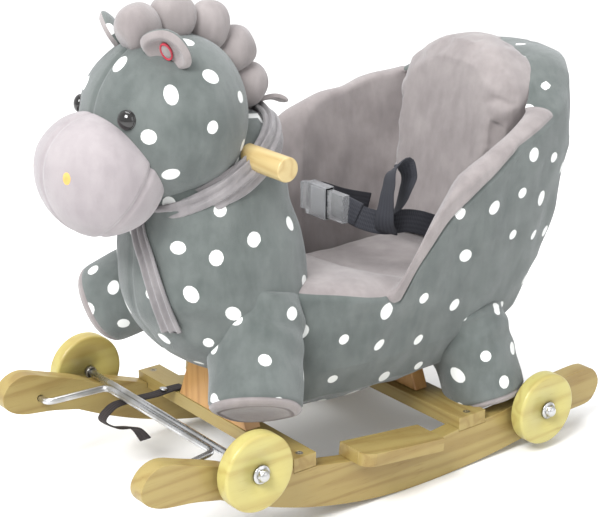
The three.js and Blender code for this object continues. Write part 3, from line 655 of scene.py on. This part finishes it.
def seam_dip(distance, deep=0.0022, wide=0.0028):
    """How far a seam draws the cloth in: deep on the seam, falling off as a bell curve, wide metres."""
    return deep * np.exp(-((distance / wide) ** 2))


neck_rings = [
    (134, 80, 24, 20), (138, 80, 42, 36), (152, 76, 64, 58), (185, 66, 84, 80), (225, 59, 92, 91),
    (275, 56, 86, 89),
    (325, 54, 72, 79), (365, 53, 61, 72), (396, 48, 48, 58),
]
neck_line = through([(z, y, rx) for z, y, rx, ry in neck_rings], 96)
neck_deep = through([(z, y, ry) for z, y, rx, ry in neck_rings], 96)
turn = np.linspace(0, 2 * np.pi, 168, endpoint=False)
neck = np.empty((96, 168, 3))
# In plan a ring is an ellipse in front and a squarer superellipse, of power 2.6, behind.
square = np.where(np.cos(turn) < 0, 2 / 2.6, 1)
neck[..., 0] = (neck_line[:, 2:] + 2) * np.sign(np.sin(turn)) * np.abs(np.sin(turn)) ** square
neck[..., 1] = neck_line[:, 1:2] - neck_deep[:, 2:] * np.sign(np.cos(turn)) * np.abs(np.cos(turn)) ** square
neck[..., 2] = neck_line[:, :1]
neck = stuffed(from_axle(neck), 4)
front_seam = seam_dip(neck[..., 0], 0.002) * (neck[..., 1] < from_axle((0, 60, 0))[1])
neck[..., 1] += front_seam
chest = skin("chest_plush", neck, grey_plush, "horse", ["neck"])
print_dots(chest, 11, 0.038)

# ---- Body with the seat tub ----------------------------------------------------------------------
# The belly and the seat's high sides are one stuffed shell of dotted plush. A pale lining covers the
# inside of the seat, rolls over the rim and is sewn to the dotted skin along the rim's outer edge.

trunk_rings = np.array([
    (88, 255, 66, 90), (104, 258, 90, 150), (140, 262, 108, 190), (190, 270, 121, 212), (250, 277, 133, 220),
    (320, 287, 141, 223), (425, 291, 134, 219),
], float)
near_rim = np.array([
    (80, 234), (112, 231), (150, 226), (188, 218), (200, 224), (212, 244), (232, 282), (262, 314),
    (304, 333), (346, 347), (419, 368), (445, 374), (465, 383), (482, 399), (498, 415), (530, 422),
], float)
far_rim = np.array([
    (80, 234), (112, 231), (150, 226), (188, 219), (200, 232), (212, 272), (225, 310), (240, 335),
    (260, 349), (304, 360), (361, 367), (400, 374), (440, 380), (465, 388), (482, 401), (498, 415),
    (530, 422),
], float)
front_tuck = 86
seat_half, seat_floor = 93, 168
around_count = 420
turn = np.linspace(0, 2 * np.pi, around_count, endpoint=False)


def trunk_at(height, turn):
    """The outer wall in plan at a height: a superellipse of power 2.6, drawn short at the front so that
    it tucks into the chest."""
    heights = trunk_rings[:, 0]
    middle, wide, deep = (np.interp(height, heights, trunk_rings[:, k]) for k in (1, 2, 3))
    s, c = np.sin(turn), np.cos(turn)
    reach = np.where(c > 0, middle - front_tuck, deep)
    power = np.where(c > 0, 2 / 3.6, 2 / 2.6)
    x = wide * np.sign(s) * np.abs(s) ** power
    y = middle - reach * np.sign(c) * np.abs(c) ** power
    return x, y


# The points round a section are spaced evenly along the wall.
fine_turn = np.linspace(0, 2 * np.pi, 4001)
fine_x, fine_y = trunk_at(250, fine_turn)
run = np.concatenate([[0], np.cumsum(np.hypot(np.diff(fine_x), np.diff(fine_y)))])
turn = np.interp(np.linspace(0, run[-1], around_count + 1)[:-1], run, fine_turn)

# The rim's height round the seat: the height at which the wall meets the side outline.
levels = np.arange(150, 424, 1.0)[:, None]
wall_x, wall_y = trunk_at(levels, turn)
near_side = np.clip(1 + wall_x / 60, 0, 1)
outline = near_side * np.interp(wall_y, near_rim[:, 0], near_rim[:, 1])
outline += (1 - near_side) * np.interp(wall_y, far_rim[:, 0], far_rim[:, 1])
rim = levels[np.argmax(levels >= outline, axis=0), 0]
window = np.hanning(11) / np.hanning(11).sum()
rim = np.convolve(np.concatenate([rim[-5:], rim, rim[:5]]), window, "valid")
rim_y = trunk_at(rim, turn)[1]
floor_low = trunk_rings[0, 0]
roll = 9.0
roll_long = 24.0


def wall(height):
    x, y = trunk_at(height, turn)
    return np.stack([x, y, np.broadcast_to(height, x.shape)], -1)


def lining_at(height):
    """The lining in plan: a superellipse of power 3 that opens upwards as the seat's sides lean out."""
    s, c = np.sin(turn), np.cos(turn)
    wide = seat_half + (height - seat_floor) * 0.14
    back = 398 + (height - seat_floor) * 0.19
    middle = 290
    reach = np.where(c > 0, middle - 186, back - middle)
    x = wide * np.sign(s) * np.abs(s) ** (2 / 3)
    y = middle - reach * np.sign(c) * np.abs(c) ** (2 / 3)
    return np.stack([x, y, np.broadcast_to(height, x.shape)], -1)


# Each upright section runs up the wall, over the rolled rim and down the lining. It is measured in
# millimetres from the seam, which lies on the rim's outer edge and crosses to the inner one behind the
# back cushion.
wall_long = rim - roll - floor_low
lining_long = rim - roll - seat_floor - 2
behind = np.clip((rim_y - 425) / 30, 0, 1)
facing_front = np.clip((rim_y - 190) / 22, 0, 1) * np.clip((360 - rim_y) / 120, 0, 1)
seam_at = wall_long + roll_long * (0.1 + 0.85 * behind) - 33 * facing_front
end_at = wall_long + roll_long + lining_long
steps = [(seam_at - 6) * t for t in np.linspace(0, 1, 104)]
steps += [seam_at + d for d in (-4.5, -3, -1.8, -0.9, 0, 0.9, 1.8, 3, 4.5)]
steps += [seam_at + 6 + (end_at - seam_at - 6) * t for t in np.linspace(0, 1, 64)]
seam_row = 4 + 104 + 4
steps = np.array(steps)
up_wall = wall(floor_low + np.clip(steps, 0, wall_long))
down_lining = lining_at(rim - roll - np.clip(steps - wall_long - roll_long, 0, lining_long))
over = np.clip((steps - wall_long) / roll_long, 0, 1)[..., None] * np.pi
share = (1 - np.cos(over)) / 2
sections = up_wall * (1 - share) + down_lining * share + np.array([0, 0, roll]) * np.sin(over) ** 0.85
foot = wall(np.full(around_count, floor_low))
bottom = lining_at(np.full(around_count, seat_floor + 1.0))
rows = [foot * (s, s, 1) + (0, (1 - s) * 255, (1 - s) * -3) for s in (0.25, 0.5, 0.75, 0.92)]
rows += list(sections)
rows += [bottom * (s, s, 1) + (0, (1 - s) * 290, 0) for s in (0.9, 0.6, 0.3)]
tub = np.array(rows)
outward = tub - (0, 285, 250)
outward[..., 2] *= 0.3
outward /= np.linalg.norm(outward, axis=-1, keepdims=True)
from_seam = np.full(tub.shape[:2], 99.0)
from_seam[4:-3] = steps - seam_at
tub -= outward * seam_dip(from_seam, 2.6, 2.4)[..., None]
tub = stuffed(from_axle(tub), 7, 0.0017, 0.06)
body = skin("body_plush", tub, grey_plush, "horse", ["body_shell"])
lined(body, pale_plush, slice(seam_row, None), around_count)
print_dots(body, 3, 0.037)

# ---- Seat and back cushions ----------------------------------------------------------------------
# Pale plush pads stuffed with fibre: a flat one on the seat's floor and a tall one with a round top
# against the back. Each swells between its seams.


def swollen(node, name, fill, cap, broad=0.0, pressure=4.0):
    """A cushion blown up from its CAD solid, each side of it first drawn in by fill: a closed cloth
    under pressure, whose points move no further than cap. broad widens its upper half by that share."""
    mesh = frame["nodes"][node].data.copy()
    piece = bpy.data.objects.new(name, mesh)
    bpy.context.scene.collection.objects.link(piece)
    low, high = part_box(node)
    middle = (low + high) / 2
    points = np.empty(len(mesh.vertices) * 3, np.float32)
    mesh.vertices.foreach_get("co", points)
    points = points.reshape(-1, 3)
    size = np.array(high - low)
    points = np.array(middle) + (points - np.array(middle)) * (1 - 2 * fill / size)
    points[:, 0] *= 1 + broad * np.clip((points[:, 2] - middle.z) / size[2] * 4, 0, 1)
    mesh.vertices.foreach_set("co", points.astype(np.float32).ravel())
    grid = piece.modifiers.new("grid", "REMESH")
    grid.mode = "VOXEL"
    grid.voxel_size = 0.005
    start = mesh_of(piece)
    cloth = piece.modifiers.new("cloth", "CLOTH")
    cloth.settings.use_pressure = True
    cloth.settings.uniform_pressure_force = pressure
    cloth.settings.effector_weights.gravity = 0
    for step in range(1, 21):
        bpy.context.scene.frame_set(step)
    final = mesh_of(piece)
    piece.modifiers.clear()
    before, after = (np.empty(len(start.vertices) * 3, np.float32) for _ in range(2))
    start.vertices.foreach_get("co", before)
    final.vertices.foreach_get("co", after)
    move = (after - before).reshape(-1, 3)
    length = np.linalg.norm(move, axis=1, keepdims=True)
    move *= np.minimum(1, cap / np.maximum(length, 1e-9))
    final.vertices.foreach_set("co", (before.reshape(-1, 3) + move).ravel())
    final.materials.clear()
    final.materials.append(pale_plush)
    final.shade_smooth()
    piece.data = final
    finer = piece.modifiers.new("finer", "SUBSURF")
    finer.levels = 1
    finer.render_levels = 1
    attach(piece, "horse")
    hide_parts(node)


def mesh_of(piece):
    """A piece's mesh with its modifiers applied."""
    return bpy.data.meshes.new_from_object(piece.evaluated_get(bpy.context.evaluated_depsgraph_get()))


swollen("seat_cushion", "seat_pad", 0.003, 0.006)
swollen("back_cushion", "back_pad", 0.002, 0.012, 0.13)
bpy.context.scene.frame_set(1)

# ---- Head and muzzle -----------------------------------------------------------------------------
# A round head of dotted plush with a seam over the forehead, and a pale egg-shaped muzzle sewn to its
# front, with a chin seam and two embroidered nostrils.

head_middle = np.array([0, 11, 406.0])
head_radius = 82.0


def globe(middle, radii, rows, around):
    """A stuffed ball: rings about the X axis from one side to the other, crowded towards the middle
    seam, and the unit direction of each point."""
    at = np.linspace(0.02, np.pi - 0.02, rows)
    at += 0.16 * np.sin(2 * at)
    turn = np.linspace(0, 2 * np.pi, around, endpoint=False)
    way = np.empty((rows, around, 3))
    way[..., 0] = -np.cos(at)[:, None]
    way[..., 1] = np.sin(at)[:, None] * np.cos(turn)
    way[..., 2] = np.sin(at)[:, None] * np.sin(turn)
    return np.asarray(middle, float) + way * np.asarray(radii, float), way


ball, way = globe(head_middle, (head_radius,) * 3, 110, 130)
ball -= way * seam_dip(ball[..., :1], 2.4, 2.4)
ball = stuffed(from_axle(ball), 21, 0.0012, 0.08)
head = skin("head_plush", ball, grey_plush, "horse", ["head"])
print_dots(head, 19, 0.040)

muzzle_middle = np.array([0, -63, 366.0])
muzzle_radii = np.array([64, 62, 66.0])
ball, way = globe(muzzle_middle, muzzle_radii, 96, 120)
ball -= way * (12.5 * np.clip(0.4 * way[..., 1:2] + 0.92 * way[..., 2:], 0, 1) ** 1.3)
chin = 0.297 * np.abs(way[..., 0]) + 0.761 * way[..., 1] - 0.577 * way[..., 2] - 0.456
ball -= way * seam_dip(chin * 62, 2.6, 2.4)[..., None]
ball -= way * (seam_dip(ball[..., 0], 1.6, 2.2) * (chin < 0))[..., None]
ball = stuffed(from_axle(ball), 31, 0.0010, 0.06)
# The muzzle wears the lighter plush, whose extra lightness is painted light.
skin("muzzle_painted_light_plush", ball, muzzle_painted_light_plush, "horse", ["muzzle"])


def button(name, middle, facing, profile, finish, body, nodes=(), side=1.0, around=48, loop=False):
    """A turned button: a profile of (height along facing, radius), its radius times side across it."""
    facing = np.asarray(facing, float) / np.linalg.norm(facing)
    across = np.cross((0, 0, 1.0), facing)
    across /= np.linalg.norm(across)
    upward = np.cross(facing, across)
    turn = np.linspace(0, 2 * np.pi, around, endpoint=False)
    profile = np.asarray(profile, float)
    flat = side * np.cos(turn)[:, None] * across + np.sin(turn)[:, None] * upward
    rings = np.asarray(middle, float) + profile[:, :1, None] * facing + profile[:, 1:, None] * flat
    return skin(name, from_axle(rings), finish, body, nodes, loop)


mustard = woven("mustard_embroidery", tint(236, 196, 120), tint(206, 156, 74), 0.0009)
dome = np.linspace(0, np.pi / 2, 8)
pad_profile = [(-3, 1)] + [(1.6 * math.sin(t), 6.2 * math.cos(t) + 0.01) for t in dome]
for hand in (1, -1):
    way = np.array([hand * 0.468, -0.879, 0.096])
    way /= np.linalg.norm(way)
    button("nostril_left" if hand > 0 else "nostril_right", muzzle_middle + way * (muzzle_radii - 1.2), way,
           [(-2, 5.8)] + pad_profile[1:], mustard, "horse", (), 0.72)

# ---- Eyes and ears -------------------------------------------------------------------------------
# The eyes are domed black plastic buttons pressed through the plush. The ears are cupped leaves, dotted
# behind and pale inside. The left ear hides the sound unit, whose press spot shows as a stitched mark.

eye_gloss, place = begin_finish("black_eye")
smear = place.noise(300, 3)
eye_black = smear.blend(tint(10, 9, 9), tint(24, 22, 22))
close_finish(eye_gloss, eye_black, 0.05 + smear * 0.06, None, 0, {"Coat Weight": 0.6}.items())
for hand, side in ((1, "left"), (-1, "right")):
    way = np.array([hand * 0.5, -0.84, 0.17])
    way /= np.linalg.norm(way)
    profile = [(-6, 3), (-1, 9), (0.2, 9.5), (1.2, 9.4)]
    profile += [(1.2 + 6.4 * math.sin(t), 9.0 * math.cos(t) + 0.01) for t in dome]
    socket = head_middle + way * 80.5
    button(f"eye_{side}_dome", socket, way, profile, eye_gloss, "horse", [f"eye_{side}"])

red_thread = woven("red_thread", tint(214, 82, 96), tint(168, 44, 62), 0.0009)
for hand, side in ((1, "left"), (-1, "right")):
    up = np.array([hand * 0.5, -0.27, 0.82])
    up /= np.linalg.norm(up)
    facing = np.array([hand * 0.62, -0.72, 0.3])
    facing -= up * (facing @ up)
    facing /= np.linalg.norm(facing)
    across = np.cross(up, facing)
    middle = head_middle + up * 91
    polar = np.linspace(0.02, np.pi - 0.02, 46)[:, None]
    turn = np.linspace(0, 2 * np.pi, 80, endpoint=False)
    reach = np.sin(polar)
    cup = np.where(polar < np.pi / 2, 0.2 + 0.95 * np.exp(-(((reach - 0.82) / 0.2) ** 2)), 0.9)
    leaf = 1 + 0.1 * np.clip(np.sin(turn), 0, 1) ** 3
    flat = 26 * np.cos(turn)[:, None] * across + 22 * (leaf * np.sin(turn))[:, None] * up
    ear = middle + reach[..., None] * flat
    ear += (8.5 * np.cos(polar) * cup)[..., None] * facing
    ear += 3.0 * ((reach * np.cos(turn)) ** 2)[..., None] * facing
    ear = stuffed(from_axle(ear), 40 + hand, 0.0008, 0.03)
    piece = skin(f"ear_{side}_plush", ear, grey_plush, "horse", [f"ear_{side}"])
    lined(piece, pale_plush, slice(0, 21), 80)
    print_dots(piece, 50 + hand, 0.03)

low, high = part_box("sound_button")
press = (np.array(low + high) / 2 - (0, front_axle.y, 0)) * 1000
up = np.array([0.5, -0.27, 0.82])
facing = np.array([0.62, -0.72, 0.3])
facing = facing - up * (facing @ up) / (up @ up)
ring = [(-1.5, 7.4), (-1.5, 9.6), (0.7, 10.2), (1.4, 9.8), (1.5, 9.2), (1.2, 8.4), (0.5, 7.8)]
button("sound_mark_thread", press, facing, ring, red_thread, "ear_button", ["sound_button"],
       0.6, loop=True)
patch = [(-1.4, 0.01), (-1.4, 8.0), (0.4, 8.0), (0.9, 6.2), (1.2, 0.01)]
button("sound_mark_patch", press, facing, patch, pale_plush, "ear_button", (), 0.6)
case_plastic, place = begin_finish("sound_case_plastic")
speckle = place.noise(400, 3)
case_grey = speckle.blend(tint(60, 60, 62), tint(78, 78, 80))
close_finish(case_plastic, case_grey, 0.4 + speckle * 0.2, speckle, 0.00005)
sound_case = frame["nodes"]["sound_module"]
sound_case.data.materials.clear()
sound_case.data.materials.append(case_plastic)

# ---- Mane ----------------------------------------------------------------------------------------
# Five stuffed lobes of pale plush in one strip, sewn from the forehead to the nape, with deep creases
# where the strip is gathered between them.

lobe_first, lobe_step, lobe_count, mane_reach = -20.0, 25.0, 5, 93.0
angle = np.linspace(lobe_first - 0.47 * lobe_step, lobe_first + (lobe_count - 0.53) * lobe_step, 190)
within = np.abs(np.cos(np.pi * (angle - lobe_first) / lobe_step))
puff = 0.34 + 0.66 * within**0.5
turn = np.linspace(0, 2 * np.pi, 64, endpoint=False)
spoke = np.radians(angle)[:, None]
side_way = 21 * puff[:, None] * np.sin(turn)
out_way = mane_reach + 25 * puff[:, None] * np.cos(turn) - 4 * (1 - puff[:, None])
mane = np.empty((len(angle), len(turn), 3))
mane[..., 0] = side_way
mane[..., 1] = head_middle[1] + 4 + np.sin(spoke) * out_way
mane[..., 2] = head_middle[2] + np.cos(spoke) * out_way
mane = stuffed(from_axle(mane), 61, 0.0014, 0.03)
skin("mane_plush", mane, pale_plush, "horse", ["mane"])

# ---- Scarf ---------------------------------------------------------------------------------------
# A strip of thin pale cloth wound round the neck in soft pleats, with one end hanging down the chest.

scarf_cloth = plush("scarf_cloth", tint(146, 142, 143), tint(106, 103, 105))
turn = np.linspace(0, 2 * np.pi, 200, endpoint=False)
tilt = math.atan(0.55)
ring_way = np.stack([np.sin(turn), -np.cos(turn) * math.cos(tilt), -np.cos(turn) * math.sin(tilt)], -1)
normal_way = np.array([0, -math.sin(tilt), math.cos(tilt)])
ring_line = np.array([0, 53, 353.0]) + ring_way * (70, 78, 78)
around = np.linspace(0, 2 * np.pi, 72, endpoint=False)
wander = 0.7 * np.sin(3 * turn + 1.1) + 0.5 * np.sin(5 * turn)
pleat = 1 + 0.17 * np.cos(7 * around[None] + wander[:, None])
pleat += 0.08 * np.cos(13 * around[None] - 2 * wander[:, None])
scarf = ring_line[:, None] + (8.5 * pleat * np.cos(around))[..., None] * ring_way[:, None]
scarf = scarf + (14 * pleat * np.sin(around))[..., None] * normal_way
scarf = from_axle(scarf)
scarf_piece = skin("scarf_pleats", scarf, scarf_cloth, "horse", ["scarf"], loop=True)

# The hanging end: a band with three shallow folds along it, widening downwards.
tail_line = through([(6, -27, 326), (10, -31, 306), (29, -33, 272), (41, -26, 228), (43, -17, 202)], 60)
across = np.linspace(-1, 1, 25)
tail_wide = np.linspace(8, 13, 60)[:, None]
folds = 1.5 * np.sin(2.6 * np.pi * across + np.linspace(0, 1.4, 60)[:, None])
front_face = np.stack([tail_wide * across, folds + 1.0], -1)
back_face = np.stack([tail_wide * across, folds - 1.0], -1)[:, ::-1]
tail = carried(tail_line, (0.93, 0.35, 0), np.concatenate([front_face, back_face], 1))
tail_piece = skin("scarf_tail", from_axle(tail), scarf_cloth, "horse", ())

# A short folded tab of the same plush as the mane is caught in its seam at the nape.
tab_line = through([(0, 102, 396), (2, 120, 404), (5, 138, 406), (8, 152, 400)], 24)
tab_sizes = np.array([1.0] * 20 + [0.97, 0.9, 0.75, 0.5])[:, None, None]
tab = carried(tab_line, (1, 0, 0.4), band_section(12, 5) * tab_sizes)
skin("nape_tab", from_axle(tab), pale_plush, "horse", ())

# ---- Legs ----------------------------------------------------------------------------------------
# Stuffed legs of dotted plush are sewn to the body and end in oval soles of pale plush with a seam
# round them.

legs = {
    "front_leg_left": ((108, 36, 123), (58, 76, 210), 46, 0.03),
    "front_leg_right": ((-112, -8, 180), (-44, 62, 232), 43, 0.1),
    "hind_leg_left": ((109, 351, 53), (77, 339, 146), 44, 0.06),
    "hind_leg_right": ((-109, 351, 53), (-77, 339, 146), 44, 0.06),
}
for seed, (name, (sole, hip, radius, flare)) in enumerate(legs.items()):
    sole, hip = np.array(sole, float), np.array(hip, float)
    forward = (hip - sole) / np.linalg.norm(hip - sole)
    long = np.linalg.norm(hip - sole)
    soft = 9.0
    bend = np.linspace(0, np.pi / 2, 10)
    flat = [(1.2 - 1.2 * s, s * (radius - soft)) for s in np.linspace(0.05, 1, 9)]
    edge = [(soft - soft * math.cos(t), radius - soft + soft * math.sin(t)) for t in bend]
    edge[8] = (edge[8][0] + 0.4, edge[8][1] - 2.0)
    shaft = [(d, radius * (1 + flare * d / long)) for d in np.linspace(soft + 3, long, 44)]
    crown = 0.5 if "front" in name else 0.32
    hip_radius = radius * (1 + flare)
    over = np.linspace(0.1, np.pi / 2, 12)
    cap_end = [(long + radius * crown * math.sin(t), hip_radius * math.cos(t) + 0.4) for t in over]
    profile = np.array(flat + edge + shaft + cap_end)
    turn = np.linspace(0, 2 * np.pi, 88, endpoint=False)
    side_way = np.cross(forward, (0, 1, 0))
    side_way /= np.linalg.norm(side_way)
    up_way = np.cross(side_way, forward)
    limb = sole + profile[:, :1, None] * forward
    limb = limb + profile[:, 1:, None] * (np.cos(turn)[:, None] * side_way + np.sin(turn)[:, None] * up_way)
    fold = 3.4 * np.clip(profile[:, 0] / long - 0.35, 0, 1)[:, None]
    fold = fold * np.sin(profile[:, :1] / 5.0 + 2.2 * np.sin(turn + seed))
    limb += fold[..., None] * (np.cos(turn)[:, None] * side_way + np.sin(turn)[:, None] * up_way)
    limb = stuffed(from_axle(limb), 70 + seed, 0.0014, 0.05)
    leg = skin(name + "_plush", limb, grey_plush, "horse", [name])
    lined(leg, pale_plush, slice(0, len(flat) + 8), 88)
    print_dots(leg, 80 + seed, 0.034)

# ---- Seat belt and buckle ------------------------------------------------------------------------
# Two dark grey webbing straps come out of the seat's back corners and meet in a side-release buckle of
# clear grey plastic. The spare end of the left one stands up in a loop.

web = woven("belt_webbing", tint(62, 64, 72), tint(32, 33, 39), 0.0018)
belt_section = band_section(0.025, 0.0018)
right_path = from_axle([
    (-26, 215, 278), (-36, 222, 279), (-52, 240, 272), (-70, 260, 264), (-82, 298, 247), (-86, 342, 232),
])
right_rings = carried(through(right_path, 60), (0, 0.1, 1), belt_section)
skin("belt_right_webbing", right_rings, web, "horse", ["belt_right"])
left_path = from_axle([
    (6, 215, 279), (20, 216, 279), (38, 226, 270), (56, 242, 265), (72, 260, 268), (81, 298, 254),
    (86, 342, 232),
])
left_rings = carried(through(left_path, 60), (0, 0.1, 1), belt_section)
left_belt = skin("belt_left_webbing", left_rings, web, None, ["belt_left"])
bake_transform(left_belt)
spare_path = from_axle([
    (52, 240, 267), (64, 248, 278), (74, 254, 300), (79, 254, 322), (80, 246, 335), (80, 234, 330),
    (79, 228, 310), (76, 228, 288), (70, 232, 270), (66, 238, 258),
])
spare_rings = carried(through(spare_path, 70), (0.75, -0.1, 0.6), belt_section)
spare_belt = skin("belt_spare_webbing", spare_rings, web, None, ())
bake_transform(spare_belt)
# Each half is sewn round its bar of the buckle: a thick folded sleeve of webbing beside it.
left_sleeve = [(10, 215, 279), (20, 216, 279), (30, 221, 275), (36, 225, 272)]
right_sleeve = [(-34, 219, 280), (-40, 226, 278), (-46, 233, 275)]
sleeves = (("sleeve_left", "buckle_half", left_sleeve), ("sleeve_right", "horse", right_sleeve))
for name, body, spots in sleeves:
    sleeve = carried(through(from_axle(spots), 16), (0, 0.1, 1), band_section(0.0262, 0.0052))
    skin(name + "_webbing", sleeve, web, body, ())
buckle_plastic, place = begin_finish("frosted_buckle")
cloudy = place.noise(180, 3)
clear_grey = cloudy.blend(tint(205, 207, 211), tint(226, 228, 231))
close_finish(buckle_plastic, clear_grey, 0.1 + cloudy * 0.12, None, 0,
             {"Transmission Weight": 0.7, "IOR": 1.47}.items())
eased("buckle_socket", buckle_plastic, 0.002)
eased("buckle_tongue", buckle_plastic, 0.0008)
